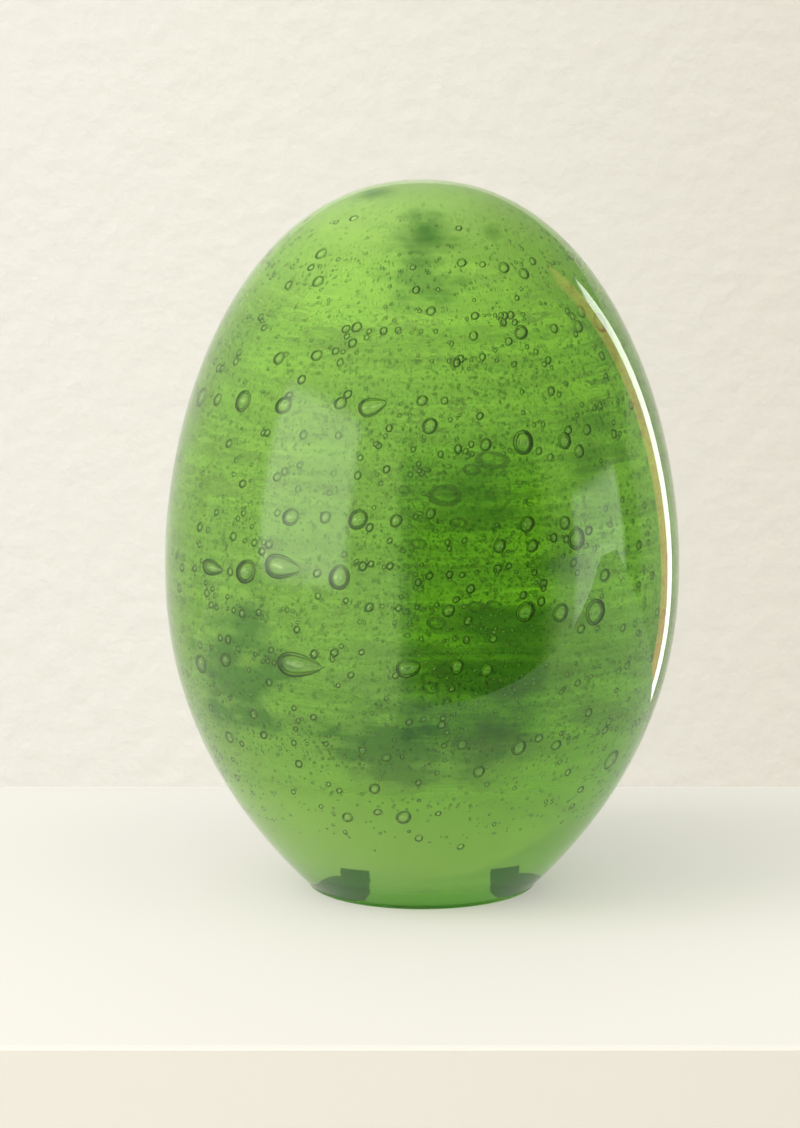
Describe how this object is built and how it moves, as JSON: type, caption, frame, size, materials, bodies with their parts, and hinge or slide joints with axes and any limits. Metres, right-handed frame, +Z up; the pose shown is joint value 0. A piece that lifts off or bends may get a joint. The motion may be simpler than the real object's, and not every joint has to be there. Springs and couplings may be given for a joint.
{
  "type": "glass dump weight",
  "caption": "Solid green glass ovoid with rows of trapped air bubbles, flat at the foot, used as a doorstop or paperweight.",
  "frame": {"origin": "centre of the flat foot, on the surface that the weight stands on", "axes": "+Z up the axis of the ovoid; -Y is the side with the drawn-out bubbles"},
  "size_m": [0.1086, 0.1086, 0.15],
  "materials": {
    "casing_glass": "fire-polished bottle-green glass, clear, with a ground foot",
    "core_glass": "streaky bottle-green glass full of fine seed",
    "trapped_air": "smooth wall of an air pocket inside the glass"
  },
  "bodies": {
    "root": {"casing_gather": "casing_glass", "core_gather": "core_glass", "bubble_row_01": "trapped_air", "bubble_row_02": "trapped_air", "bubble_row_03": "trapped_air", "bubble_row_04": "trapped_air", "bubble_row_05": "trapped_air", "bubble_row_06": "trapped_air", "bubble_row_07": "trapped_air", "bubble_row_08": "trapped_air", "bubble_row_09": "trapped_air", "bubble_row_10": "trapped_air", "bubble_row_11": "trapped_air", "bubble_row_12": "trapped_air"}
  },
  "joints": []
}
